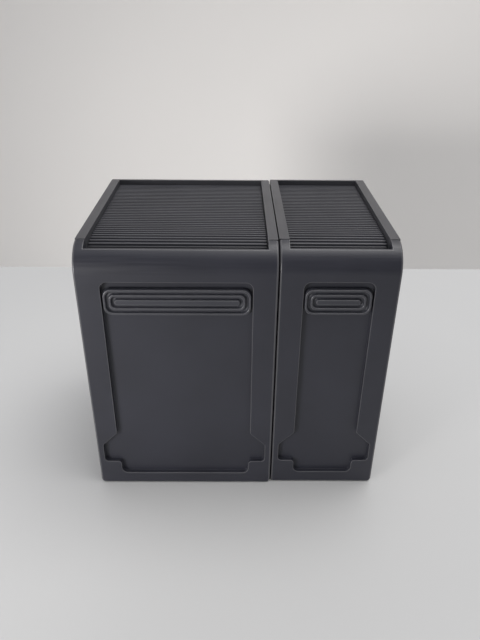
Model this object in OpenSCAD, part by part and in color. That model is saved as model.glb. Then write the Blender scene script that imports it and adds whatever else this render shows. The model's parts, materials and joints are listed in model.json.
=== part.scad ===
// Pair of upright card boxes standing side by side, one wide and one narrow.
// Each box is a case that is open in front, a ribbed panel let into its top
// between two side rails, and a drawer whose front laps over the case and
// curves back to the rails. A box is drawn about X = 0 with its front face at
// Y = 0 and its base at Z = 0, then set in its place in the pair.

/* [Boxes] */
// Width of the wide box
wide_w = 69.8; // [50:0.1:110]
// Width of the narrow box
narrow_w = 41.8; // [32:0.1:70]
// Height of both boxes
box_h = 105; // [100:0.5:140]
// Depth of both boxes, from the front face to the back
box_d = 79; // [60:0.5:110]
// Gap between the two boxes
pair_gap = 0.4; // [0.3:0.1:5]
// How far the narrow box stands back from the wide one
set_back = 0.8; // [0:0.1:5]

/* [Case] */
// Thickness of the case's side walls
side_t = 2; // [1.2:0.1:3]
// Thickness of the case's floor
floor_t = 2; // [1.2:0.1:3]
// Thickness of the case's back wall
back_t = 2.4; // [2.2:0.1:4]
// Thickness of the plate that closes the case under the ribbed panel
plate_t = 1.6; // [1:0.1:3]
// Width of the flat rails along the top
rail_w = 3.5; // [2.5:0.1:6]
// Width of the rim behind the ribbed panel
rim_w = 1.2; // [0.8:0.1:4]
// Chamfer on the case's upright back edges
case_chamfer = 0.5; // [0.2:0.1:1]

/* [Ribbed panel] */
// Depth of the rib crests below the rails
crest_drop = 2; // [1:0.1:3]
// Height of a rib above the grooves
rib_h = 0.8; // [0.4:0.1:1.2]
// Spacing of the ribs
rib_pitch = 1.9; // [1.6:0.1:4]
// Width of a rib's flat crest
rib_land = 0.8; // [0.4:0.1:1.2]
// Width that each sloping flank of a rib takes
rib_flank = 0.25; // [0.1:0.05:0.4]
// Thickness of the panel under the grooves
panel_t = 1.6; // [1.3:0.1:3]
// Distance from the front face to the panel's front end
panel_start = 11; // [10:0.5:14]
// Distance from the front face at which the panel starts to bend down
bend_start = 20; // [15:0.5:21]
// Radius of the bend
bend_r = 34; // [32:1:80]
// Clearance round the panel in its seat
seat_gap = 0.15; // [0.1:0.05:0.3]

/* [Drawer front] */
// Thickness of the drawer front
front_t = 5; // [3.6:0.1:6]
// Radius of the curve from the front face to the top
curve_r = 10.2; // [9.2:0.1:14]
// How far the curve reaches back along the top
curve_depth = 8.6; // [7:0.1:9]
// Width of the chamfer along the front's edges
edge_chamfer = 0.7; // [0.3:0.1:1]
// Depth of that chamfer
edge_chamfer_depth = 0.4; // [0.2:0.1:1]
// Chamfer at the front's bottom corners
foot_chamfer = 1; // [0.5:0.1:2]
// Depth of the lip's flat top below the rails
lip_drop = 2; // [1.6:0.1:3]
// Height of the drawer front above the table
front_lift = 0.5; // [0.2:0.1:1]
// Gap between the closed front and the case
shut_gap = 0.3; // [0.2:0.1:0.6]

/* [Front recess] */
// Depth of the recess in the front face
recess_depth = 1.8; // [1:0.1:2]
// Width of the margin beside the recess
recess_margin = 8.6; // [6:0.1:12]
// Width of the margin beside the recess's tabs
tab_margin = 2.6; // [1.8:0.1:5]
// Width of the margin beside the recess's foot
foot_margin = 10.6; // [9:0.1:14]
// Distance from the box's top to the recess's top edge
recess_top_drop = 12.6; // [11:0.1:20]
// Height at which the recess starts to widen into the tabs
shoulder_z = 26.2; // [22:0.1:40]
// Height of the top of the tabs
tab_top_z = 20.2; // [16:0.1:21]
// Height of the bottom of the tabs
tab_bottom_z = 12; // [9:0.1:14]
// Height of the recess's bottom edge
recess_bottom_z = 5.5; // [5:0.1:8]
// Radius of the recess's corners
recess_r = 1.4; // [0.5:0.1:1.8]
// Radius of the recess's two top corners
recess_top_r = 2.6; // [2:0.1:4]

/* [Grip] */
// Height of the grip
grip_h = 10.4; // [10:0.1:14]
// Radius of the grip's corners
grip_r = 3; // [2:0.1:4.5]
// Space above the grip for a fingertip
finger_gap = 2.5; // [1.5:0.1:6]
// Clearance between the grip's ends and the recess
grip_gap = 0.35; // [0.2:0.05:1]
// Thickness of the grip's base
grip_base_t = 0.8; // [0.5:0.1:0.9]
// Spacing of the grip's ridges
ridge_pitch = 1.95; // [1.7:0.05:2]
// Width that a ridge's outer slope takes
ridge_slope = 0.4; // [0.2:0.05:0.6]
// Width of a ridge's crest
ridge_land = 0.55; // [0.3:0.05:0.6]

/* [Drawer tray] */
// Thickness of the tray's side walls
tray_side_t = 1.6; // [1:0.1:2.5]
// Thickness of the tray's floor
tray_floor_t = 1.6; // [1.4:0.1:2.5]
// Thickness of the tray's back wall
tray_back_t = 2.4; // [2.2:0.1:4]
// Running gap between the tray and the case
run_gap = 0.35; // [0.2:0.05:0.8]
// Depth of the groove that the tray is glued into
tongue = 1.2; // [0.8:0.1:1.4]
// Clearance of the tray's front edge in that groove
glue_gap = 0.1; // [0.05:0.05:0.2]
// Radius of the finger scoops in the tray's sides
scoop_r = 14; // [8:1:18]

/* [Drawer stop] */
// How far a drawer pulls out
travel = 58; // [30:1:60]
// Distance from the front face to the stop pin
stop_y = 12; // [9:0.5:14]
// Diameter of the stop pin
stop_d = 3; // [2:0.1:4]
// Radial clearance of the stop pin in the case's floor
stop_fit = 0.05; // [0.02:0.01:0.1]
// Depth of the groove that the pin runs in
stop_groove = 1; // [0.8:0.1:1.1]
// Clearance between the pin and its groove
stop_gap = 0.3; // [0.2:0.05:0.5]
// Depth of the pin's foot above the table
stop_sunk = 0.4; // [0.2:0.1:0.8]

/* [Magnets] */
// Diameter of a closing magnet
magnet_d = 6; // [4:0.5:8]
// Thickness of a closing magnet
magnet_t = 1.8; // [1:0.1:1.8]
// Clearance round a magnet in its pocket
magnet_fit = 0.05; // [0.02:0.01:0.15]
// Height of the lower magnets
magnet_low_z = 20; // [12:1:40]
// Height of the upper magnets
magnet_high_z = 82; // [60:1:88]

/* [Hidden] */

charcoal = [0.20, 0.20, 0.22];
charcoal_light = [0.27, 0.27, 0.29];
steel = [0.72, 0.73, 0.75];

round_fn = 96;
corner_fn = 32;
eps = 0.01;
over = 1;

// The pair
pair_w = wide_w + pair_gap + narrow_w;
pair_d = box_d + set_back;
wide_x = (wide_w - pair_w) / 2;
narrow_x = (pair_w - narrow_w) / 2;
wide_y = -pair_d / 2;
narrow_y = wide_y + set_back;

// Levels, from the rails downward
groove_z = box_h - crest_drop - rib_h;
plate_z = groove_z - panel_t;
cavity_top_z = plate_z - plate_t;
tray_top_z = cavity_top_z - run_gap;
tray_z = floor_t + run_gap;
tray_floor_z = tray_z + tray_floor_t;

// Depths, from the front face backward
case_front_y = front_t + shut_gap;
horn_back_y = curve_depth - shut_gap;
cavity_back_y = box_d - back_t;
tray_back_y = cavity_back_y - run_gap;
tray_front_y = front_t - tongue;
panel_end_y = box_d - rim_w - seat_gap;

// The front's curve ends on the top plane at curve_depth
curve_rise = sqrt(curve_depth * (2 * curve_r - curve_depth));
curve_z = box_h - curve_rise;

// Recess and grip
recess_top_z = box_h - recess_top_drop;
grip_z = recess_top_z - finger_gap - grip_h / 2;
ridge_h = recess_depth - grip_base_t;

// The ribbed panel's bend, as a path length from its start to the front end
bend_deg = asin((bend_start - panel_start) / (bend_r + rib_h));
bend_len = bend_r * bend_deg * PI / 180;
rib_count = floor((bend_len + panel_end_y - bend_start) / rib_pitch);
scoop_y = (front_t + tray_back_y - tray_back_t) / 2;

// A solid from its side view, drawn as [y, z], across a width centred on X = 0
module across(w) {
    rotate([90, 0, 90])
        linear_extrude(height = w, center = true)
            children();
}

// A solid from its front view, drawn as [x, z], from y0 back to y1
module frontal(y0, y1) {
    translate([0, y1, 0])
        rotate([90, 0, 0])
            linear_extrude(height = y1 - y0)
                children();
}

// A block centred on X = 0 between two depths and two heights
module block(w, y0, y1, z0, z1) {
    translate([-w / 2, y0, z0])
        cube([w, y1 - y0, z1 - z0]);
}

// The same block on both sides, from the side face inward
module side_blocks(w, inward, y0, y1, z0, z1) {
    for (s = [-1, 1])
        translate([s * (w - inward) / 2, 0, 0])
            block(inward, y0, y1, z0, z1);
}

// A disc with its axis along Y
module disc(d, y0, y1, z) {
    translate([0, y1, z])
        rotate([90, 0, 0])
            cylinder(d = d, h = y1 - y0, $fn = round_fn);
}

module rounded_rect(w, h, r) {
    for (sx = [-1, 1], sz = [-1, 1])
        translate([sx * (w / 2 - r), sz * (h / 2 - r)])
            circle(r = r, $fn = corner_fn);
    square([w - 2 * r, h], center = true);
    square([w, h - 2 * r], center = true);
}

// Case

module case_plan(w) {
    c = case_chamfer;
    polygon([
        [-w / 2, case_front_y],
        [w / 2, case_front_y],
        [w / 2, box_d - c],
        [w / 2 - c, box_d],
        [-w / 2 + c, box_d],
        [-w / 2, box_d - c]
    ]);
}

module case(w) {
    channel_w = w - 2 * rail_w;
    color(charcoal)
        difference() {
            linear_extrude(height = box_h)
                case_plan(w);
            // room for the tray
            block(w - 2 * side_t, 0, cavity_back_y, floor_t, cavity_top_z);
            // seat of the ribbed panel
            block(channel_w, 0, box_d - rim_w, plate_z, box_h + over);
            // notches for the horns of the drawer front
            side_blocks(w + over, rail_w + shut_gap + over / 2, 0, curve_depth,
                tray_top_z - shut_gap, box_h + over);
            magnet_pockets(cavity_back_y - over, cavity_back_y + magnet_t + magnet_fit);
            translate([0, stop_y, -over])
                cylinder(r = stop_d / 2 + stop_fit, h = floor_t + 2 * over, $fn = round_fn);
        }
}

// Ribbed panel

// Point of the panel's top at path length s before the bend's start, h above the grooves
function on_panel(s, h) =
    s <= 0
        ? [bend_start - s, groove_z + h]
        : let (a = s / bend_r * 180 / PI)
            [bend_start - (bend_r + h) * sin(a), groove_z - bend_r + (bend_r + h) * cos(a)];

// Outline of one rib, front to back, about its crest's middle at s
function rib_points(s) =
    let (foot = rib_land / 2 + rib_flank)
    [on_panel(s + foot, 0), on_panel(s + rib_land / 2, rib_h),
        on_panel(s - rib_land / 2, rib_h), on_panel(s - foot, 0)];

function ribbed_outline() =
    let (first = bend_len - rib_pitch / 2)
    concat(
        [[panel_start, plate_z], [panel_start, on_panel(bend_len, 0)[1]]],
        [for (i = [0 : rib_count - 1]) each rib_points(first - i * rib_pitch)],
        [[panel_end_y, groove_z], [panel_end_y, plate_z]]
    );

module ribbed_top(w) {
    color(charcoal_light)
        across(w - 2 * (rail_w + seat_gap))
            polygon(ribbed_outline());
}

// Drawer front

// A cylinder along X with chamfered ends, which gives the curve and its edges
module curve_roll(w) {
    c = edge_chamfer;
    end_r = curve_r - edge_chamfer_depth;
    translate([-w / 2, curve_r, curve_z])
        rotate([0, 90, 0]) {
            cylinder(r1 = end_r, r2 = curve_r, h = c, $fn = round_fn);
            translate([0, 0, c])
                cylinder(r = curve_r, h = w - 2 * c, $fn = round_fn);
            translate([0, 0, w - c])
                cylinder(r1 = curve_r, r2 = end_r, h = c, $fn = round_fn);
        }
}

module front_plan(w) {
    c = edge_chamfer;
    polygon([
        [-w / 2, edge_chamfer_depth],
        [-w / 2 + c, 0],
        [w / 2 - c, 0],
        [w / 2, edge_chamfer_depth],
        [w / 2, front_t],
        [-w / 2, front_t]
    ]);
}

module front_blank(w) {
    translate([0, 0, front_lift])
        linear_extrude(height = curve_z - front_lift)
            front_plan(w);
    difference() {
        intersection() {
            curve_roll(w);
            block(w, -over, horn_back_y, curve_z, box_h);
        }
        // only the horns reach back over the tray
        block(w + over, front_t, curve_r, curve_z - over, tray_top_z);
        block(w - 2 * rail_w, front_t, curve_r, curve_z - over, box_h + over);
        // between the horns the front ends in a low flat lip
        block(w - 2 * rail_w, -over, curve_r, box_h - lip_drop, box_h + over);
    }
}

// Front view of the recess: a tall panel with a tab on each side near its foot
module recess_outline(w) {
    a = w / 2 - recess_margin;
    t = w / 2 - tab_margin;
    f = w / 2 - foot_margin;
    offset(r = recess_r, $fn = corner_fn)
        offset(r = -2 * recess_r, $fn = corner_fn)
            offset(r = recess_r, $fn = corner_fn) {
                translate([0, (recess_top_z + shoulder_z) / 2])
                    rounded_rect(2 * a, recess_top_z - shoulder_z, recess_top_r);
                polygon([
                    [-a, recess_top_z - 2 * recess_top_r], [a, recess_top_z - 2 * recess_top_r],
                    [a, shoulder_z], [t, tab_top_z], [t, tab_bottom_z], [a, tab_bottom_z],
                    [f, recess_bottom_z], [-f, recess_bottom_z], [-a, tab_bottom_z],
                    [-t, tab_bottom_z], [-t, tab_top_z], [-a, shoulder_z]
                ]);
            }
}

module bottom_corner_cuts(w) {
    frontal(-over, front_t + over)
        for (s = [-1, 1])
            polygon([
                [s * (w / 2 - foot_chamfer - over), front_lift - over],
                [s * (w / 2 + over), front_lift - over],
                [s * (w / 2 + over), front_lift + foot_chamfer + over]
            ]);
}

module front(w) {
    color(charcoal)
        difference() {
            front_blank(w);
            frontal(-over, recess_depth)
                recess_outline(w);
            bottom_corner_cuts(w);
            tray_groove(w);
        }
}

// Grip: a base with ridges that run round it in rings, and a bar in the middle

// A block with sloping sides, from one rounded rectangle up to another
module tapered(w, h, r, inset_low, inset_high, rise) {
    hull()
        for (end = [[inset_low, 0], [inset_high, rise - eps]])
            translate([0, 0, end[1]])
                linear_extrude(height = eps)
                    rounded_rect(w - 2 * end[0], h - 2 * end[0], max(r - end[0], ridge_land));
}

module ridge_ring(w, inset) {
    crest_in = inset + ridge_slope + ridge_land;
    difference() {
        tapered(w, grip_h, grip_r, inset, inset + ridge_slope, ridge_h);
        translate([0, 0, -eps])
            tapered(w, grip_h, grip_r, crest_in + ridge_slope, crest_in, ridge_h + 3 * eps);
    }
}

module grip(w) {
    grip_w = w - 2 * (recess_margin + grip_gap);
    color(charcoal)
        translate([0, recess_depth, grip_z])
            rotate([90, 0, 0]) {
                linear_extrude(height = grip_base_t)
                    rounded_rect(grip_w, grip_h, grip_r);
                translate([0, 0, grip_base_t - eps]) {
                    for (k = [0, 1])
                        ridge_ring(grip_w, k * ridge_pitch);
                    tapered(grip_w, grip_h, grip_r, 2 * ridge_pitch,
                        2 * ridge_pitch + ridge_slope, ridge_h);
                }
            }
}

// Drawer tray

tray_inset = side_t + run_gap;

// Front view of the tray's floor and sides, grown by a clearance
module tray_section(w, grow) {
    outer_w = w - 2 * tray_inset;
    inner_w = outer_w - 2 * tray_side_t;
    difference() {
        translate([-outer_w / 2 - grow, tray_z - grow])
            square([outer_w + 2 * grow, tray_top_z - tray_z + grow]);
        translate([-inner_w / 2 + grow, tray_floor_z + grow])
            square([inner_w - 2 * grow, box_h]);
    }
}

module tray_groove(w) {
    frontal(tray_front_y - glue_gap, front_t + over)
        tray_section(w, glue_gap);
}

module stop_groove_cut() {
    r = stop_d / 2 + stop_gap;
    translate([0, 0, tray_z - over]) {
        for (y = [stop_y, stop_y + travel])
            translate([0, y, 0])
                cylinder(r = r, h = stop_groove + over, $fn = round_fn);
        translate([-r, stop_y, 0])
            cube([2 * r, travel, stop_groove + over]);
    }
}

module tray(w) {
    outer_w = w - 2 * tray_inset;
    color(charcoal_light)
        difference() {
            union() {
                frontal(tray_front_y, tray_back_y)
                    tray_section(w, 0);
                block(outer_w, tray_back_y - tray_back_t, tray_back_y, tray_z, tray_top_z);
            }
            // finger scoops in both sides
            translate([-w / 2, scoop_y, tray_top_z])
                rotate([0, 90, 0])
                    cylinder(r = scoop_r, h = w, $fn = round_fn);
            stop_groove_cut();
            magnet_pockets(tray_back_y - magnet_t - magnet_fit, tray_back_y + over);
        }
}

// Magnets and stop pin

module magnet_pockets(y0, y1) {
    for (z = [magnet_low_z, magnet_high_z])
        disc(magnet_d + 2 * magnet_fit, y0, y1, z);
}

module magnets(y0) {
    color(steel)
        for (z = [magnet_low_z, magnet_high_z])
            disc(magnet_d, y0, y0 + magnet_t, z);
}

module case_magnets() {
    magnets(cavity_back_y + magnet_fit);
}

module tray_magnets() {
    magnets(tray_back_y - magnet_fit - magnet_t);
}

module stop_pin() {
    top = tray_z + stop_groove - stop_gap;
    color(steel)
        translate([0, stop_y, stop_sunk])
            cylinder(d = stop_d, h = top - stop_sunk, $fn = round_fn);
}

// Places in the pair

module in_wide() {
    translate([wide_x, wide_y, 0])
        children();
}

module in_narrow() {
    translate([narrow_x, narrow_y, 0])
        children();
}

module wide_case() {
    in_wide() case(wide_w);
}

module wide_ribbed_top() {
    in_wide() ribbed_top(wide_w);
}

module wide_case_magnets() {
    in_wide() case_magnets();
}

module wide_stop_pin() {
    in_wide() stop_pin();
}

module wide_tray() {
    in_wide() tray(wide_w);
}

module wide_front() {
    in_wide() front(wide_w);
}

module wide_grip() {
    in_wide() grip(wide_w);
}

module wide_tray_magnets() {
    in_wide() tray_magnets();
}

module narrow_case() {
    in_narrow() case(narrow_w);
}

module narrow_ribbed_top() {
    in_narrow() ribbed_top(narrow_w);
}

module narrow_case_magnets() {
    in_narrow() case_magnets();
}

module narrow_stop_pin() {
    in_narrow() stop_pin();
}

module narrow_tray() {
    in_narrow() tray(narrow_w);
}

module narrow_front() {
    in_narrow() front(narrow_w);
}

module narrow_grip() {
    in_narrow() grip(narrow_w);
}

module narrow_tray_magnets() {
    in_narrow() tray_magnets();
}

wide_case();
wide_ribbed_top();
wide_case_magnets();
wide_stop_pin();
wide_tray();
wide_front();
wide_grip();
wide_tray_magnets();
narrow_case();
narrow_ribbed_top();
narrow_case_magnets();
narrow_stop_pin();
narrow_tray();
narrow_front();
narrow_grip();
narrow_tray_magnets();
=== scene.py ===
# %% [markdown]
# # Two printed card boxes, side by side
#
# The real object is a pair of upright boxes, printed in charcoal plastic: a wide one on the left and a
# narrow one on the right. Each has a ribbed panel let into its top, and a drawer whose front laps over the
# box and curves back to the top rails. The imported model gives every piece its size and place, so it is
# loaded first and never moved. What this lesson adds is the finish: softened edges, print texture, light.

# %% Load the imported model
import json
import math

import bmesh
import bpy
from mathutils import Matrix, Vector


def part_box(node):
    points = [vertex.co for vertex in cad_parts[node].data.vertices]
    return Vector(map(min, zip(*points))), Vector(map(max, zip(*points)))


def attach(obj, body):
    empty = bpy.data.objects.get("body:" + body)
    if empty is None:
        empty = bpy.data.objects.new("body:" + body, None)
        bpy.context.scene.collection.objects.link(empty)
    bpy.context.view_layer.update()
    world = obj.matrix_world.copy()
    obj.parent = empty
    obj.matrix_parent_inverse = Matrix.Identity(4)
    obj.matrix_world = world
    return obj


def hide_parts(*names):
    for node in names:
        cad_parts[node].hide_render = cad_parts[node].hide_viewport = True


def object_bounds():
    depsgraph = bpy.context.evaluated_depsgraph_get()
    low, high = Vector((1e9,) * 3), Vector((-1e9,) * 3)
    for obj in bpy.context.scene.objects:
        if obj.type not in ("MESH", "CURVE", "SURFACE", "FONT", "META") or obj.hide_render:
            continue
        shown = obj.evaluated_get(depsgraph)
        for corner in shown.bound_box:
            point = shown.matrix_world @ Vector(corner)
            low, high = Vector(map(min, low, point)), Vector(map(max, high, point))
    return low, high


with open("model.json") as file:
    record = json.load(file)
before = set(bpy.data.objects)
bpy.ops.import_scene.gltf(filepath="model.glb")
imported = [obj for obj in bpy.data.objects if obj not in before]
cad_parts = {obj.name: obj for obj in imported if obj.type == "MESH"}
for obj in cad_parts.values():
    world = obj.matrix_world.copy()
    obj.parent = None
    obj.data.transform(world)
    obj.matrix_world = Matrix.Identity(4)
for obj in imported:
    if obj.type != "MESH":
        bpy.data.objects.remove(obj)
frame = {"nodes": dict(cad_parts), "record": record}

cad_low, cad_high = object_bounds()
MM = 0.001
print("CAD box in mm:", [round(side / MM, 1) for side in cad_high - cad_low])

# %% [markdown]
# ## Tools for the bench
#
# An operator works on everything that is selected, and the loaded model comes in selected. So a piece is
# begun by putting everything down, and finished or cut by taking just that piece in hand. Its points are
# picked by where they lie, because their numbers change with every cut.

# %% Put down, take in hand, pick
TOUCH = 0.01 * MM           # how close counts as lying on a line


def put_down():
    """Leaves edit mode with nothing selected."""
    if bpy.context.mode != "OBJECT":
        bpy.ops.object.mode_set(mode="OBJECT")
    bpy.ops.object.select_all(action="DESELECT")


def take(piece):
    """Selects one piece and makes it the active one."""
    put_down()
    piece.select_set(True)
    bpy.context.view_layer.objects.active = piece


def pick_points(piece, wanted):
    """In edit mode, selects the vertices that pass a test, and what lies between them."""
    bpy.ops.mesh.select_mode(type="VERT")
    bpy.ops.mesh.select_all(action="DESELECT")
    form = bmesh.from_edit_mesh(piece.data)
    for vertex in form.verts:
        vertex.select_set(wanted(vertex.co))
    form.select_flush(True)
    bmesh.update_edit_mesh(piece.data)


# %% [markdown]
# ## Drawing an outline
#
# Most of these pieces are one outline pulled out to a thickness, as a slicer would see them. An outline
# could be a curve object, but drawing it with the mesh's own extrude keeps its points where they are
# wanted. A plane merged to one vertex is the pencil's tip, and each extrude draws the next line.

# %% Draw an outline
def pencil(name, start):
    """Begins a piece as one selected vertex, in edit mode."""
    put_down()
    bpy.ops.mesh.primitive_plane_add(size=MM)
    piece = bpy.context.object
    piece.name = piece.data.name = name
    bpy.ops.object.mode_set(mode="EDIT")
    bpy.ops.mesh.select_mode(type="VERT")
    bpy.ops.mesh.select_all(action="SELECT")
    bpy.ops.mesh.merge(type="CENTER")
    bpy.ops.transform.translate(value=start)
    return piece


def line(by):
    """Draws on from the selected vertex."""
    bpy.ops.mesh.extrude_vertices_move(TRANSFORM_OT_translate={"value": by})


def fill():
    """Closes the drawn line and fills it with a face."""
    bpy.ops.mesh.select_all(action="SELECT")
    bpy.ops.mesh.edge_face_add()


def draw(name, points):
    """Starts a piece as a filled outline through the points, and stays in edit mode."""
    piece = pencil(name, points[0])
    for here, there in zip(points, points[1:]):
        line(there - here)
    fill()
    return piece


# %% Round its corners, pull it out
def round_corner(piece, corner, radius, steps=6):
    """Rounds one corner of a flat outline, starting the bevel where an arc of that radius would start."""
    bpy.ops.mesh.select_mode(type="VERT")
    bpy.ops.mesh.select_all(action="DESELECT")
    form = bmesh.from_edit_mesh(piece.data)
    tip = min(form.verts, key=lambda vertex: (vertex.co - corner).length)
    arms = [(edge.other_vert(tip).co - tip.co).normalized() for edge in tip.link_edges]
    turn = math.pi - arms[0].angle(arms[1])
    tip.select_set(True)
    bmesh.update_edit_mesh(piece.data)
    bpy.ops.mesh.bevel(offset=radius * math.tan(turn / 2), segments=steps, affect="VERTICES")
    bpy.ops.mesh.select_all(action="SELECT")


def pull(by):
    """Pulls the selected outline out to a solid, with all its faces turned outwards."""
    bpy.ops.mesh.extrude_region_move(TRANSFORM_OT_translate={"value": by})
    bpy.ops.mesh.select_all(action="SELECT")
    bpy.ops.mesh.normals_make_consistent(inside=False)


# %% [markdown]
# ## Cutting and softening
#
# A pocket is cut with a Boolean modifier, which is applied at once, so that the next step starts from a
# plain mesh. Points that the cut leaves on top of each other are merged, because the shortest edge of a
# mesh limits how wide the others can be rounded. No printed edge is razor sharp: the nozzle rounds it by
# a quarter of a millimetre or so. A Bevel modifier limited by angle does the same, and can give its new
# faces a material slot of their own. Outer edges keep that slot, and its lighter plastic is a painted
# highlight along them, partly handling wear. The inner corners get the plain one back. Weighted normals
# keep the large faces flat beside them.

# %% Cut
def cut(piece, cutter):
    """Takes the cutter's shape out of a piece, and clears the cutter away."""
    take(piece)
    bpy.ops.object.modifier_add(type="BOOLEAN")
    boolean = piece.modifiers[-1]
    boolean.operation = "DIFFERENCE"
    boolean.solver = "EXACT"
    boolean.object = cutter
    bpy.ops.object.modifier_apply(modifier=boolean.name)
    bpy.data.objects.remove(cutter)
    bpy.ops.object.mode_set(mode="EDIT")
    bpy.ops.mesh.select_all(action="SELECT")
    bpy.ops.mesh.remove_doubles(threshold=TOUCH)
    bpy.ops.object.mode_set(mode="OBJECT")


# %% Soften
# the EDGE slot holds the lighter plastic of the painted edge highlight
BODY = 0                    # material slots of a softened piece
EDGE = 1


def soften(piece, width, sharpest=30):
    """Rounds a piece's edges by a small width and smooths only what is left of the angles."""
    take(piece)
    piece.data.materials.clear()
    piece.data.materials.append(None)
    piece.data.materials.append(None)
    bpy.ops.object.modifier_add(type="BEVEL")
    bevel = piece.modifiers[-1]
    bevel.width = width
    bevel.segments = 2
    bevel.limit_method = "ANGLE"
    bevel.angle_limit = math.radians(sharpest)
    # the rounding's faces take the slot of the painted edge highlight
    bevel.material = EDGE
    bpy.ops.object.modifier_apply(modifier=bevel.name)
    bpy.ops.object.mode_set(mode="EDIT")
    form = bmesh.from_edit_mesh(piece.data)
    for face in form.faces:
        if sum(edge.calc_face_angle_signed(0) for edge in face.edges) < 0:
            face.material_index = BODY
    bmesh.update_edit_mesh(piece.data)
    bpy.ops.object.mode_set(mode="OBJECT")
    bpy.ops.object.shade_smooth_by_angle(angle=math.radians(sharpest))
    bpy.ops.object.modifier_add(type="WEIGHTED_NORMAL")
    weights = piece.modifiers[-1]
    weights.keep_sharp = True
    bpy.ops.object.modifier_apply(modifier=weights.name)


# %% [markdown]
# ## Settling a piece
#
# Each new piece stands for a node of the imported model. It rides the same body, so it moves with the same
# drawer or box, and hides the node. Its place goes into its mesh, so that its object sits at the origin as
# a node's does, and the pattern on it starts from the same point.

# %% Settle
def settle(piece, node):
    """Puts a finished piece in its node's place: same body, the node itself hidden."""
    take(piece)
    bpy.ops.object.transform_apply(location=True, rotation=True, scale=True)
    put_down()
    bodies = frame["record"]["behaviour"]["bodies"]
    body = next(body for body, nodes in bodies.items() if node in nodes)
    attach(piece, body)
    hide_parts(node)
    print(f"{piece.name}: {len(piece.data.polygons)} faces on {body}")


# %% [markdown]
# ## The sizes that the pieces share
#
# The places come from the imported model's boxes. The sizes inside a piece, such as a radius or the depth of
# a recess, are the real ones in millimetres, written once here.

# %% Shared sizes
RAIL_W = 3.5 * MM           # flat rails along the top
FRONT_T = 5 * MM            # thickness of a drawer front
CURVE_R = 10.2 * MM         # radius from the front face to the top
CURVE_DEPTH = 8.6 * MM      # how far that curve reaches back
LIP_DROP = 2 * MM           # the lip's flat top, below the rails
EDGE_CHAMFER = 0.7 * MM     # width of the chamfer along a front's sides
CHAMFER_DEPTH = 0.4 * MM    # and how far it drops back
FOOT_CHAMFER = 1 * MM       # at a front's bottom corners
RECESS_DEPTH = 1.8 * MM
PRINT_EDGE = 0.25 * MM      # how round a printed edge is
OVER = 1 * MM               # how far a cutter runs past what it cuts
NAMES = ("wide", "narrow")

box_top = cad_high.z
curve_rise = math.sqrt(CURVE_DEPTH * (2 * CURVE_R - CURVE_DEPTH))
curve_z = box_top - curve_rise
print("the front's curve starts", round(curve_z / MM, 2), "mm above the table")

# %% [markdown]
# ## Drawer front: the slab and its curve
#
# On the real box the front is one printed slab, 5 mm thick, whose face rolls back towards the top. Seen
# from the side it is a tall strip with a quarter of a wheel on its head, so the side view is drawn and
# pulled across the box's width, short of the chamfers at both sides. The roll could be a cylinder joined
# on, but Spin turns the pencil's tip about the wheel's centre and leaves the curve tangent to the face
# without a seam. It is spun in two goes, so that the lip, which is cut later, comes well clear of the
# points of the roll, and one step too far, to be trimmed to its length once the chamfers are on.

# %% Draw the front's side and pull it across
LIP_STEPS = 16              # from the face to just below the lip
HORN_STEPS = 4              # from there to the horns' back ends
LIP_PLACE = 0.3             # of a step, the lip's place between two points of the roll


def front_slab(name, low, high):
    """The front's side view is drawn at its left side: foot, face, roll, horn, underside of the horn."""
    face = low.y
    tray_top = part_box(f"{name}_tray")[1].z
    piece = pencil(f"{name}_drawer_front", Vector((low.x + EDGE_CHAMFER, face + FRONT_T, low.z)))
    line((0, -FRONT_T, 0))
    line((0, 0, curve_z - low.z))
    wheel = Vector((low.x, face + CURVE_R, curve_z))
    lip_turn = math.asin((box_top - LIP_DROP - curve_z) / CURVE_R)
    horn_turn = math.acos((wheel.y - high.y) / CURVE_R)
    step = (horn_turn - lip_turn) / (HORN_STEPS - LIP_PLACE)
    bpy.ops.mesh.spin(steps=LIP_STEPS, angle=lip_turn - step * LIP_PLACE, center=wheel, axis=(1, 0, 0))
    bpy.ops.mesh.spin(steps=HORN_STEPS + 1, angle=step * (HORN_STEPS + 1), center=wheel, axis=(1, 0, 0))
    line((0, 0, tray_top - curve_z - CURVE_R * math.sin(horn_turn + step)))
    line((0, FRONT_T - CURVE_R * (1 - math.cos(horn_turn + step)), 0))
    fill()
    pull((high.x - low.x - 2 * EDGE_CHAMFER, 0, 0))
    return piece


fronts = {name: front_slab(name, *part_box(f"{name}_front")) for name in NAMES}
print({name: len(piece.data.edges) for name, piece in fronts.items()})

# %% [markdown]
# ## Drawer front: the chamfers
#
# The long edges of the face are cut off at a low angle, from the foot right over the roll, and catch the
# light beside the seam between the two boxes. Bevel would cut as deep as it is wide. Here each end is
# extruded out to the full width instead, and then its face is moved back and its roll shrunk about the
# wheel's centre, which leaves a flat chamfer below and a conical one above. The two bottom corners are
# nipped off with Bisect, and so is what the roll has too much.

# %% Chamfer the face's edges, trim the horns, nip the foot's corners
def chamfer_end(piece, low, side, end_x):
    """Extrudes one end of the slab by the chamfer's width and draws its front in by the chamfer's depth."""
    wheel = Vector((end_x, low.y + CURVE_R, curve_z))

    def at_end(point):
        return abs(point.x - end_x) < TOUCH

    def on_roll(point):
        return point.z > curve_z - TOUCH and abs((point - wheel).yz.length - CURVE_R) < TOUCH

    pick_points(piece, lambda point: abs(point.x - end_x + side * EDGE_CHAMFER) < TOUCH)
    bpy.ops.mesh.extrude_region_move(TRANSFORM_OT_translate={"value": (side * EDGE_CHAMFER, 0, 0)})
    pick_points(piece, lambda point: at_end(point) and abs(point.y - low.y) < TOUCH and not on_roll(point))
    bpy.ops.transform.translate(value=(0, CHAMFER_DEPTH, 0))
    pick_points(piece, lambda point: at_end(point) and on_roll(point))
    shrink = 1 - CHAMFER_DEPTH / CURVE_R
    bpy.ops.transform.resize(value=(1, shrink, shrink), center_override=wheel)


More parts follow.
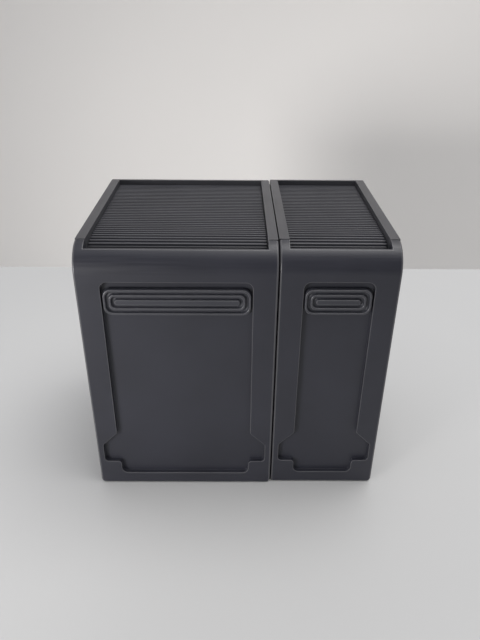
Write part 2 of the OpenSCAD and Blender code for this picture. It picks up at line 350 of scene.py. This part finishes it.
def trim(place, outward):
    """Cuts off all that lies outside a plane and closes the cut."""
    bpy.ops.mesh.select_all(action="SELECT")
    bpy.ops.mesh.bisect(
        plane_co=place, plane_no=outward, threshold=TOUCH / 10, use_fill=True, clear_outer=True)


for name, piece in fronts.items():
    low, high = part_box(f"{name}_front")
    take(piece)
    bpy.ops.object.mode_set(mode="EDIT")
    for side, end_x in ((-1, low.x), (1, high.x)):
        chamfer_end(piece, low, side, end_x)
    trim(high, (0, 1, 0))
    for side, end_x in ((-1, low.x), (1, high.x)):
        trim((end_x - side * FOOT_CHAMFER, low.y, low.z), (side, 0, -1))
    bpy.ops.mesh.select_all(action="SELECT")
    bpy.ops.mesh.normals_make_consistent(inside=False)
    bpy.ops.object.mode_set(mode="OBJECT")
    print(name, "front with its chamfers:", len(piece.data.polygons), "faces")

# %% [markdown]
# ## Drawer front: lip and horns
#
# Only two horns, as wide as the rails, reach back over the box. Between them the front stops at a narrow
# flat lip, a little below the rails, and the ribbed panel starts behind it. One cutter with a stepped side
# view takes the middle away and leaves lip and horns in a single cut.

# %% Cut the lip free between the horns
def lip_cutter(name, low, high):
    """The stepped side view of what goes from between the horns, pulled across the front."""
    back = low.y + FRONT_T
    lip = box_top - LIP_DROP
    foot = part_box(f"{name}_tray")[1].z - OVER
    steps = [(back, foot), (back, lip), (low.y - OVER, lip), (low.y - OVER, box_top + OVER),
             (high.y + OVER, box_top + OVER), (high.y + OVER, foot)]
    piece = draw("lip_cutter", [Vector((low.x + RAIL_W, y, z)) for y, z in steps])
    pull((high.x - low.x - 2 * RAIL_W, 0, 0))
    return piece


for name, piece in fronts.items():
    cut(piece, lip_cutter(name, *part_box(f"{name}_front")))
    print(name, "front after the lip:", len(piece.data.polygons), "faces")

# %% [markdown]
# ## Drawer front: the recess
#
# The face has a tall recess with a tab on each side near its foot. Its outline is mirrored about the middle,
# so only the right half's corners are listed and the left half is made from them. Each corner is rounded
# with a vertex bevel, widest at the top and at the foot, where the outline swings in as an S. Then it is
# pulled through the face and cut out.

# %% Cut the recess
RECESS_R = 1.4 * MM
RECESS_TOP_R = 2.6 * MM
RECESS_FOOT_R = 2.4 * MM
PANEL_TOP = 92.4 * MM       # heights above the table
TAB_START = 26.2 * MM
TAB_FULL = 20.2 * MM
TAB_FOOT = 11.7 * MM
PANEL_FOOT = 5.5 * MM


def recess_corners(half):
    """Corners of the recess's right half as (x, height, radius), from the top down."""
    panel = half - 8.6 * MM
    tab = half - 2.6 * MM
    foot = half - 9.1 * MM
    return [(panel, PANEL_TOP, RECESS_TOP_R), (panel, TAB_START, RECESS_R), (tab, TAB_FULL, RECESS_R),
            (tab, TAB_FOOT, RECESS_R), (foot, TAB_FOOT, RECESS_R), (foot, PANEL_FOOT, RECESS_FOOT_R)]


def recess_cutter(low, high):
    """The whole recess as a solid that runs out of the face."""
    middle = (low.x + high.x) / 2
    right = recess_corners((high.x - low.x) / 2)
    both = right + [(-x, z, radius) for x, z, radius in reversed(right)]
    corners = [(Vector((middle + x, low.y - OVER, z)), radius) for x, z, radius in both]
    piece = draw("recess_cutter", [corner for corner, radius in corners])
    for corner, radius in corners:
        round_corner(piece, corner, radius)
    pull((0, OVER + RECESS_DEPTH, 0))
    return piece


for name, piece in fronts.items():
    cut(piece, recess_cutter(*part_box(f"{name}_front")))
    print(name, "front after the recess:", len(piece.data.polygons), "faces")

# %% [markdown]
# ## Drawer front: the groove for the tray
#
# The tray is glued into a groove in the back of the front, a U that follows its floor and sides. The groove
# is cut a tenth of a millimetre wider than the tray's walls, which is the room for the glue. The long
# chamfers get the same slot as the edges, so the painted highlight of the edges lies on them too.

# %% Cut the groove and settle the fronts
TRAY_WALL = 1.6 * MM
GLUE_GAP = 0.1 * MM
LEAN_SLACK = 0.03           # how far a chamfer's normal may be off


def groove_cutter(name, low):
    """The tray's U, wider than its walls by the glue gap on both sides."""
    tray_low, tray_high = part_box(f"{name}_tray")
    left = tray_low.x - GLUE_GAP
    right = tray_high.x + GLUE_GAP
    foot = tray_low.z - GLUE_GAP
    top = tray_high.z
    wide = TRAY_WALL + 2 * GLUE_GAP
    steps = [(left, top), (left, foot), (right, foot), (right, top), (right - wide, top),
             (right - wide, foot + wide), (left + wide, foot + wide), (left + wide, top)]
    start = tray_low.y - GLUE_GAP
    piece = draw("groove_cutter", [Vector((x, start, z)) for x, z in steps])
    pull((0, low.y + FRONT_T + OVER - start, 0))
    return piece


def paint_chamfer_highlights(piece):
    """Gives the flat and conical chamfers the slot of the outer edges and its painted highlight, found by how
    far they lean.
    """
    lean = math.sin(math.atan2(CHAMFER_DEPTH, EDGE_CHAMFER))
    for face in piece.data.polygons:
        if abs(abs(face.normal.x) - lean) < LEAN_SLACK and face.normal.y < 0:
            face.material_index = EDGE


for name, piece in fronts.items():
    cut(piece, groove_cutter(name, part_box(f"{name}_front")[0]))
    soften(piece, PRINT_EDGE)
    paint_chamfer_highlights(piece)
    settle(piece, f"{name}_front")

# %% [markdown]
# ## Grip
#
# The finger grip is a small plate in the top of the recess, with ridges that run round it in rings and a
# flat bar in the middle. Insetting a rounded face again and again would cross its own corners once their
# radius is used up. So each level of the relief is its own rounded rectangle, with the same number of
# points, and Bridge joins each one to the next. Two rings in one plane can make Bridge turn the wrong way
# round, so the levels stand well apart while they are bridged, and are slid to their true heights after.

# %% Make the levels
GRIP_R = 3 * MM
GRIP_BASE = 0.8 * MM
RIDGE_PITCH = 1.95 * MM
RIDGE_SLOPE = 0.4 * MM
RIDGE_LAND = 0.55 * MM
GRIP_STEPS = 6
RINGS = 2


def ring_levels(relief):
    """(inset, height) of each level, from the plate's back over two rings to the bar in the middle."""
    levels = [(0, 0), (0, GRIP_BASE)]
    for ring in range(RINGS):
        start = ring * RIDGE_PITCH
        crest = start + RIDGE_SLOPE
        levels += [(start, GRIP_BASE)] * (ring > 0)
        levels += [(crest, relief), (crest + RIDGE_LAND, relief)]
        levels += [(crest + RIDGE_LAND + RIDGE_SLOPE, GRIP_BASE)]
    bar = RINGS * RIDGE_PITCH
    return levels + [(bar, GRIP_BASE), (bar + RIDGE_SLOPE, relief)]


def add_level(centre, width, height, radius):
    """Adds one rounded rectangle, standing and empty, to the mesh in edit mode."""
    bpy.ops.mesh.select_all(action="DESELECT")
    bpy.ops.mesh.primitive_plane_add(size=1, location=centre, rotation=(math.pi / 2, 0, 0))
    bpy.ops.transform.resize(value=(width, 1, height))
    bpy.ops.mesh.bevel(offset=radius, segments=GRIP_STEPS, affect="VERTICES")
    bpy.ops.mesh.delete(type="ONLY_FACE")


# %% Bridge the levels and slide them home
STACK = 5 * MM              # how far apart the levels stand while they are bridged
CREST_ROUND = 0.16 * MM


def bridge_levels(piece, back, levels):
    """Bridges each level to the next one, closes the back and the bar, then slides each level home."""
    def pick_levels(first, last):
        pick_points(piece, lambda point: first * STACK - TOUCH < back - point.y < last * STACK + TOUCH)

    for number in range(len(levels) - 1):
        pick_levels(number, number + 1)
        bpy.ops.mesh.bridge_edge_loops()
    for end in (0, len(levels) - 1):
        pick_levels(end, end)
        bpy.ops.mesh.edge_face_add()
    for number, (_, rise) in enumerate(levels):
        pick_levels(number, number)
        bpy.ops.transform.translate(value=(0, number * STACK - rise, 0))
    bpy.ops.mesh.select_all(action="SELECT")
    bpy.ops.mesh.normals_make_consistent(inside=False)


def ridged_grip(name):
    """Stacks up the levels as empty outlines, and has them bridged."""
    low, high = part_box(f"{name}_grip")
    width = high.x - low.x
    height = high.z - low.z
    middle = (low + high) / 2
    put_down()
    bpy.ops.mesh.primitive_plane_add(size=1)
    piece = bpy.context.object
    piece.name = piece.data.name = f"{name}_finger_grip"
    bpy.ops.object.mode_set(mode="EDIT")
    bpy.ops.mesh.delete(type="VERT")
    levels = ring_levels(high.y - low.y)
    for number, (inset, _) in enumerate(levels):
        centre = (middle.x, high.y - number * STACK, middle.z)
        radius = GRIP_R - inset / 2
        add_level(centre, width - 2 * inset, height - 2 * inset, radius)
    bridge_levels(piece, high.y, levels)
    bpy.ops.object.mode_set(mode="OBJECT")
    return piece


for name in NAMES:
    grip = ridged_grip(name)
    soften(grip, CREST_ROUND)
    settle(grip, f"{name}_grip")

# %% [markdown]
# ## Ribbed top
#
# The panel in the top has a rib every 1.9 mm, and bends down at its front end behind the lip. One
# rib could be copied with an Array along a curve, but then the ribs would end wherever the curve does. Here
# the side view is worked out from the rib's pitch along the bent line, as a single outline, and pulled
# across the channel between the rails.

# %% Draw the ribs along the bent line
RIB_H = 0.8 * MM
RIB_PITCH = 1.9 * MM
RIB_LAND = 0.8 * MM
RIB_FLANK = 0.25 * MM
BEND_START = 20 * MM        # behind the front face
BEND_R = 34 * MM
RIB_ROUND = 0.14 * MM


def ribbed_panel(name):
    """The panel's side view with its ribs, pulled across the channel."""
    low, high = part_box(f"{name}_ribbed_top")
    bend_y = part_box(f"{name}_front")[0].y + BEND_START
    groove = high.z - RIB_H
    bend_turn = math.asin((bend_y - low.y) / (BEND_R + RIB_H))
    bend_length = BEND_R * bend_turn
    count = math.floor((bend_length + high.y - bend_y) / RIB_PITCH)

    def on_panel(along, rise):
        """Point at a length along the panel towards its front end, a rise above the grooves."""
        turn = max(along, 0) / BEND_R
        flat = min(along, 0)
        return Vector((low.x, bend_y - flat - (BEND_R + rise) * math.sin(turn),
                       groove - BEND_R + (BEND_R + rise) * math.cos(turn)))

    foot = RIB_LAND / 2 + RIB_FLANK
    profile = ((foot, 0), (RIB_LAND / 2, RIB_H), (-RIB_LAND / 2, RIB_H), (-foot, 0))
    front_end = Vector((low.x, low.y, on_panel(bend_length, 0).z))
    points = [Vector((low.x, low.y, low.z)), front_end]
    for rib in range(count):
        crest = bend_length - RIB_PITCH * (rib + 0.5)
        points += [on_panel(crest + offset, rise) for offset, rise in profile]
    points += [Vector((low.x, high.y, groove)), Vector((low.x, high.y, low.z))]
    piece = draw(f"{name}_rib_panel", points)
    pull((high.x - low.x, 0, 0))
    print(name, "ribs:", count)
    return piece


for name in NAMES:
    panel = ribbed_panel(name)
    soften(panel, RIB_ROUND, sharpest=35)
    settle(panel, f"{name}_ribbed_top")

# %% [markdown]
# ## Case and tray
#
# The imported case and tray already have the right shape, down to the notches and finger scoops. What they
# lack is the soft printed edge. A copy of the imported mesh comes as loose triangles, so it is merged and
# its flat faces are joined first, and then its edges are softened like the others.

# %% Soften the edges of cases and trays
FLAT = math.radians(1)      # faces that turn by less are one face


def softened_copy(node, name):
    """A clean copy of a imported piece, with its edges softened."""
    source = frame["nodes"][node]
    piece = source.copy()
    piece.data = source.data.copy()
    piece.name = piece.data.name = name
    piece.parent = None
    for key in list(piece.keys()):
        del piece[key]
    bpy.context.scene.collection.objects.link(piece)
    take(piece)
    bpy.ops.object.mode_set(mode="EDIT")
    bpy.ops.mesh.select_all(action="SELECT")
    bpy.ops.mesh.remove_doubles(threshold=TOUCH / 10)
    bpy.ops.mesh.dissolve_limited(angle_limit=FLAT)
    bpy.ops.object.mode_set(mode="OBJECT")
    soften(piece, PRINT_EDGE)
    return piece


for name in NAMES:
    settle(softened_copy(f"{name}_case", f"{name}_case_shell"), f"{name}_case")
    settle(softened_copy(f"{name}_tray", f"{name}_drawer_tray"), f"{name}_tray")

# %% [markdown]
# ## Printed plastic
#
# The finish is satin charcoal plastic, laid down in level layers a fifth of a millimetre thick. It is dark
# enough that most of its brightness is reflected table and wall, so the roughness matters more than the
# colour. The layers could be a sine wave, but real layers differ a little in width and sheen, and so does a
# noise that is stretched along them and squeezed across them.

# %% Add a node, stretch a noise, vary the sheen
def add_node(tree, kind, settings=None, **inputs):
    """Adds a shader node, with its settings and the values on its sockets."""
    node = tree.nodes.new(kind)
    for key, value in (settings or {}).items():
        setattr(node, key, value)
    for key, value in inputs.items():
        node.inputs[key.replace("_", " ")].default_value = value
    return node


def stretched_noise(tree, place, scale, detail=2.0):
    """Noise whose grains are 1 / scale metres long along each axis."""
    mapping = add_node(tree, "ShaderNodeMapping", Scale=scale)
    noise = add_node(tree, "ShaderNodeTexNoise", Scale=1.0, Detail=detail, Roughness=0.55)
    tree.links.new(place.outputs["Object"], mapping.inputs["Vector"])
    tree.links.new(mapping.outputs["Vector"], noise.inputs["Vector"])
    return noise.outputs["Fac"]


NOISE_LOW = 0.3             # nearly all of a noise lies between these two
NOISE_HIGH = 0.7


def sheen_from(tree, shader, noise, rough):
    """Lets a noise change the roughness between two values."""
    sheen = add_node(tree, "ShaderNodeMapRange",
                     From_Min=NOISE_LOW, From_Max=NOISE_HIGH, To_Min=rough[0], To_Max=rough[1])
    tree.links.new(noise, sheen.inputs["Value"])
    tree.links.new(sheen.outputs["Result"], shader.inputs["Roughness"])


# %% Build the plastic
LAYER = 1 / (0.2 * MM)      # grains per metre across the printed layers
ALONG = 1 / (30 * MM)       # grains per metre along them
CLOUD = 1 / (22 * MM)       # grains per metre of the slow change of colour
GRAIN = 1 / (0.6 * MM)      # grains per metre of the fine grain
STREAK_SHARE = 0.35         # how much of the colour follows the layers, the rest follows the cloud
SATIN = (0.36, 0.5)         # roughness of a printed face


def printed_plastic(name, dark, light, rough=SATIN, layers=(ALONG, ALONG, LAYER)):
    """Satin plastic with level layers, a slow change of colour and a fine grain."""
    material = bpy.data.materials.new(name)
    material.use_nodes = True
    tree = material.node_tree
    shader = tree.nodes["Principled BSDF"]
    place = add_node(tree, "ShaderNodeTexCoord")
    streaks = stretched_noise(tree, place, layers)
    cloud = stretched_noise(tree, place, (CLOUD, CLOUD, CLOUD), detail=3.0)
    grain = stretched_noise(tree, place, (GRAIN, GRAIN, GRAIN))
    blend = add_node(tree, "ShaderNodeMath", {"operation": "MULTIPLY_ADD"})
    blend.inputs[1].default_value = STREAK_SHARE
    tree.links.new(streaks, blend.inputs[0])
    rest = add_node(tree, "ShaderNodeMath", {"operation": "MULTIPLY"})
    rest.inputs[1].default_value = 1 - STREAK_SHARE
    tree.links.new(cloud, rest.inputs[0])
    tree.links.new(rest.outputs[0], blend.inputs[2])
    ramp = add_node(tree, "ShaderNodeValToRGB")
    ramp.color_ramp.elements[0].position = NOISE_LOW
    ramp.color_ramp.elements[1].position = NOISE_HIGH
    ramp.color_ramp.elements[0].color = (*dark, 1)
    ramp.color_ramp.elements[1].color = (*light, 1)
    tree.links.new(blend.outputs[0], ramp.inputs["Fac"])
    tree.links.new(ramp.outputs["Color"], shader.inputs["Base Color"])
    sheen_from(tree, shader, streaks, rough)
    fine = add_node(tree, "ShaderNodeBump", Strength=0.12, Distance=0.03 * MM)
    coarse = add_node(tree, "ShaderNodeBump", Strength=0.5, Distance=0.02 * MM)
    tree.links.new(grain, fine.inputs["Height"])
    tree.links.new(streaks, coarse.inputs["Height"])
    tree.links.new(fine.outputs["Normal"], coarse.inputs["Normal"])
    tree.links.new(coarse.outputs["Normal"], shader.inputs["Normal"])
    shader.inputs["IOR"].default_value = 1.5
    return material


# %% Give the printed pieces their plastics
def dress_softened(piece, body, edge):
    """Gives a softened piece its plastic, and on its outer edges the lighter one, which is a painted
    highlight.
    """
    piece.data.materials[BODY] = body
    piece.data.materials[EDGE] = edge


CHARCOAL = ((0.038, 0.038, 0.043), (0.052, 0.052, 0.059))
case_plastic = printed_plastic("case_plastic", *CHARCOAL)
# The lighter edge plastics paint a highlight along rounded edges and chamfers, partly handling wear.
case_highlight = printed_plastic(
    "case_painted_highlight", (0.055, 0.055, 0.059), (0.070, 0.070, 0.075), rough=(0.3, 0.42))
rib_plastic = printed_plastic(
    "rib_plastic", (0.035, 0.0355, 0.044), (0.048, 0.0485, 0.060), layers=(ALONG, LAYER, LAYER))
# The front plastic is painted darker and bluer than the case's, though it is the same plastic: painted shade
# on the upright faces, and the window's bluish light painted into the colour.
front_plastic = printed_plastic("front_plastic", (0.0162, 0.0168, 0.0235), (0.0222, 0.0230, 0.0325))
front_highlight = printed_plastic(
    "front_painted_highlight", (0.062, 0.062, 0.068), (0.080, 0.080, 0.087), rough=(0.28, 0.4))
# The grip plastic is painted lighter than the front's, as painted light on its ridges. It is darker and bluer
# than the case's, as painted shade and painted bluish window light.
grip_plastic = printed_plastic("grip_plastic", (0.026, 0.027, 0.034), (0.036, 0.037, 0.046))
grip_highlight = printed_plastic(
    "grip_painted_highlight", (0.070, 0.070, 0.077), (0.090, 0.090, 0.098), rough=(0.28, 0.4))
tray_plastic = printed_plastic("tray_plastic", *CHARCOAL)
for name in NAMES:
    dress_softened(bpy.data.objects[f"{name}_case_shell"], case_plastic, case_highlight)
    dress_softened(bpy.data.objects[f"{name}_rib_panel"], rib_plastic, case_highlight)
    dress_softened(bpy.data.objects[f"{name}_drawer_front"], front_plastic, front_highlight)
    dress_softened(bpy.data.objects[f"{name}_finger_grip"], grip_plastic, grip_highlight)
    dress_softened(bpy.data.objects[f"{name}_drawer_tray"], tray_plastic, case_highlight)
print("plastics:", [material.name for material in bpy.data.materials])

# %% [markdown]
# ## Magnets and stop pins
#
# Two nickel-plated discs in each back wall hold a drawer shut, and a steel pin in each floor stops it from
# falling out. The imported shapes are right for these, so they only get their metals. Brushing and plating
# show as small changes of roughness, which a noise gives without changing the metal's colour.

# %% Build the metals
PLATING = (1200, 1200, 1200)    # grains per metre along each axis
TURNING = (6000, 6000, 300)


def dress(piece, material):
    """Gives a piece one material all over."""
    piece.data.materials.clear()
    piece.data.materials.append(material)


def metal(name, colour, rough, grain):
    """Bare metal, whose marks show as changes of roughness."""
    material = bpy.data.materials.new(name)
    material.use_nodes = True
    tree = material.node_tree
    shader = tree.nodes["Principled BSDF"]
    shader.inputs["Metallic"].default_value = 1.0
    shader.inputs["Base Color"].default_value = (*colour, 1)
    place = add_node(tree, "ShaderNodeTexCoord")
    marks = stretched_noise(tree, place, grain, detail=4.0)
    sheen_from(tree, shader, marks, rough)
    bump = add_node(tree, "ShaderNodeBump", Strength=0.2, Distance=0.01 * MM)
    tree.links.new(marks, bump.inputs["Height"])
    tree.links.new(bump.outputs["Normal"], shader.inputs["Normal"])
    return material


nickel = metal("magnet_nickel", (0.72, 0.73, 0.75), (0.12, 0.3), PLATING)
pin_steel = metal("pin_steel", (0.6, 0.61, 0.63), (0.25, 0.45), TURNING)
for name in NAMES:
    dress(frame["nodes"][f"{name}_case_magnets"], nickel)
    dress(frame["nodes"][f"{name}_tray_magnets"], nickel)
    dress(frame["nodes"][f"{name}_stop_pin"], pin_steel)
print("metals:", nickel.name, pin_steel.name)

# %% [markdown]
# ## Floor and backdrop
#
# The boxes stand on a plain pale table in front of a plain pale wall. Both are stage, not part of the
# object. The wall matters for the looks, because the top rails reflect it at a low angle. It casts no shadow
# and throws no light back, and its paint is on its front only, so a camera behind it looks through.

# %% Mix the paint
MOTTLE = (9, 9, 9)          # grains per metre in the paint
DARKEST = 0.96              # of the paint's colour


def pale(name, colour, rough, shine=0.5):
    """A matte paint with a faint mottle."""
    material = bpy.data.materials.new(name)
    material.use_nodes = True
    tree = material.node_tree
    shader = tree.nodes["Principled BSDF"]
    shader.inputs["Roughness"].default_value = rough
    shader.inputs["Specular IOR Level"].default_value = shine
    place = add_node(tree, "ShaderNodeTexCoord")
    cloud = stretched_noise(tree, place, MOTTLE, detail=3.0)
    ramp = add_node(tree, "ShaderNodeValToRGB")
    ramp.color_ramp.elements[0].color = (*(DARKEST * part for part in colour), 1)
    ramp.color_ramp.elements[1].color = (*colour, 1)
    tree.links.new(cloud, ramp.inputs["Fac"])
    tree.links.new(ramp.outputs["Color"], shader.inputs["Base Color"])
    return material


def see_through_from_behind(material):
    """Leaves the paint on the front of a plane only."""
    tree = material.node_tree
    out = tree.nodes["Material Output"]
    side = add_node(tree, "ShaderNodeNewGeometry")
    clear = add_node(tree, "ShaderNodeBsdfTransparent")
    choice = add_node(tree, "ShaderNodeMixShader")
    tree.links.new(side.outputs["Backfacing"], choice.inputs["Fac"])
    tree.links.new(tree.nodes["Principled BSDF"].outputs["BSDF"], choice.inputs[1])
    tree.links.new(clear.outputs["BSDF"], choice.inputs[2])
    tree.links.new(choice.outputs["Shader"], out.inputs["Surface"])


# %% Set the stage
WALL_Y = 174 * MM
STAGE_HALF = 1600 * MM

put_down()
bpy.ops.mesh.primitive_plane_add(size=2 * STAGE_HALF)
floor = bpy.context.object
floor.name = "floor"
dress(floor, pale("floor_white", (0.52, 0.52, 0.515), 0.7, shine=0.08))

put_down()
bpy.ops.mesh.primitive_plane_add(
    size=2 * STAGE_HALF, location=(0, WALL_Y, STAGE_HALF), rotation=(math.pi / 2, 0, 0))
wall = bpy.context.object
wall.name = "wall"
wall.visible_shadow = False
wall.visible_diffuse = False
wall_white = pale("wall_white", (0.81, 0.79, 0.765), 0.8)
see_through_from_behind(wall_white)
dress(wall, wall_white)
print("wall at", round(WALL_Y / MM), "mm")

# %% [markdown]
# ## A dark card
#
# The rolls at the top of the fronts mirror what lies behind the camera, and they are dark in the photo. A
# darker world would dim the sides of the boxes too. So a dark card stands there, as in a studio, and only
# reflections see it.

# %% Stand the card behind the camera
CARD_Y = -600 * MM
CARD_W = 1800 * MM
CARD_H = 880 * MM

put_down()
bpy.ops.mesh.primitive_plane_add(size=1, location=(0, CARD_Y, CARD_H / 2), rotation=(-math.pi / 2, 0, 0))
dark_card = bpy.context.object
dark_card.name = "dark_card"
dark_card.scale = (CARD_W, CARD_H, 1)
dark_card.visible_camera = False
dark_card.visible_diffuse = False
dark_card.visible_shadow = False
dress(dark_card, pale("card_grey", (0.06, 0.06, 0.065), 0.8))
print("card at", round(CARD_Y / MM), "mm")

# %% [markdown]
# ## Lamps
#
# The light is a plain soft studio one. A small window stands low in front on the left, its light drawn in
# to a narrow cone aimed at the left of the fronts, so that they grow darker towards the right and the table
# beside it stays plain. A broad lamp overhead keeps the table bright and the shadows soft.

# %% Place the lamps
def soft_lamp(name, place, aim, size, power, colour, spread):
    """A round lamp that points at a place and isn't seen itself."""
    put_down()
    bpy.ops.object.light_add(type="AREA", location=place)
    lamp = bpy.context.object
    lamp.name = lamp.data.name = name
    lamp.rotation_euler = (Vector(aim) - Vector(place)).to_track_quat("-Z", "Y").to_euler()
    lamp.data.shape = "DISK"
    lamp.data.size = size
    lamp.data.energy = power
    lamp.data.color = colour
    lamp.data.spread = math.radians(spread)
    lamp.visible_camera = False
    print(name, "at", [round(part / MM) for part in place], "mm")


soft_lamp("window_left", place=(-0.32, -0.31, 0.07), aim=(-0.07, -0.04, 0.055), size=0.18,
          power=0.191, colour=(1.0, 0.98, 0.97), spread=55)
soft_lamp("overhead", place=(0.22, 0.03, 0.9), aim=(0, 0, 0.05), size=0.7,
          power=5.4, colour=(1, 0.985, 0.97), spread=180)

# %% [markdown]
# ## The room
#
# The room lights more from overhead than from the height of the boxes, as rooms do, and some more from
# behind, where no lamp stands. Two ramps on the world's directions give that. Cameras and mirrors see the
# room in one pale tone instead, and the Light Path node tells these rays from the ones that only carry light.

# %% Tell directions and rays apart
LOW_SKY = 0.1               # upward share of a direction where the light begins to grow
HIGH_SKY = 0.95             # and where it is full
FULL_BACK = 0.9             # backward share of a direction where the light from behind is full


def light_by_direction(room, horizon, zenith, behind):
    """Strength that grows upwards from the horizon, and towards the back."""
    place = add_node(room, "ShaderNodeTexCoord")
    parts = add_node(room, "ShaderNodeSeparateXYZ")
    rise = add_node(room, "ShaderNodeMapRange", {"interpolation_type": "SMOOTHSTEP"},
                    From_Min=LOW_SKY, From_Max=HIGH_SKY, To_Min=horizon, To_Max=zenith)
    back = add_node(room, "ShaderNodeMapRange", From_Max=FULL_BACK, To_Max=behind)
    both = add_node(room, "ShaderNodeMath", {"operation": "ADD"})
    room.links.new(place.outputs["Generated"], parts.inputs["Vector"])
    room.links.new(parts.outputs["Z"], rise.inputs["Value"])
    room.links.new(parts.outputs["Y"], back.inputs["Value"])
    room.links.new(rise.outputs["Result"], both.inputs[0])
    room.links.new(back.outputs["Result"], both.inputs[1])
    return both.outputs[0]


def seen_or_mirrored(room):
    """1 for rays that look at the room or mirror it, 0 for rays that only carry its light."""
    rays = add_node(room, "ShaderNodeLightPath")
    looks = rays.outputs["Is Camera Ray"]
    for kind in ("Is Glossy Ray", "Is Transmission Ray"):
        either = add_node(room, "ShaderNodeMath", {"operation": "MAXIMUM"})
        room.links.new(looks, either.inputs[0])
        room.links.new(rays.outputs[kind], either.inputs[1])
        looks = either.outputs[0]
    return looks


# %% Light the room
ROOM_TONE = (0.95, 0.96, 1.0, 1)


def pale_room(horizon, zenith, behind, seen):
    """A world that lights by direction, but is seen and mirrored as one pale tone."""
    world = bpy.data.worlds.new("pale_room")
    world.use_nodes = True
    room = world.node_tree
    lighting = room.nodes["Background"]
    lighting.inputs["Color"].default_value = ROOM_TONE
    room.links.new(light_by_direction(room, horizon, zenith, behind), lighting.inputs["Strength"])
    plain = add_node(room, "ShaderNodeBackground", Color=ROOM_TONE, Strength=seen)
    choice = add_node(room, "ShaderNodeMixShader")
    room.links.new(seen_or_mirrored(room), choice.inputs["Fac"])
    room.links.new(lighting.outputs["Background"], choice.inputs[1])
    room.links.new(plain.outputs["Background"], choice.inputs[2])
    room.links.new(choice.outputs["Shader"], room.nodes["World Output"].inputs["Surface"])
    return world


bpy.context.scene.world = pale_room(horizon=0.36, zenith=0.66, behind=0.5, seen=0.6)
print("world:", bpy.context.scene.world.name)

# %% [markdown]
# ## Camera
#
# The camera's place and lens were worked out from the vanishing lines of the boxes' edges. It looks down by
# about thirty degrees, from just in front of the boxes.

# %% Place the camera
CAMERA_PLACE = Vector((-0.94, -221.5, 181.4)) * MM
CAMERA_RIGHT = Vector((0.99995, -0.00479, 0.00823))
CAMERA_UP = Vector((-0.00478, 0.49456, 0.86913))
CAMERA_BACK = Vector((-0.00824, -0.86913, 0.49452))
CAMERA_LENS = 33.34

put_down()
bpy.ops.object.camera_add(location=CAMERA_PLACE)
camera = bpy.context.object
camera.name = "camera"
camera.rotation_euler = Matrix((CAMERA_RIGHT, CAMERA_UP, CAMERA_BACK)).transposed().to_euler()
camera.data.lens = CAMERA_LENS
bpy.context.scene.camera = camera
print("camera at", [round(part / MM) for part in CAMERA_PLACE], "mm")

# %% [markdown]
# ## Finish
#
# The picture is shown as it is lit, with no added contrast.

# %% Finish
bpy.context.scene.view_settings.view_transform = "Standard"
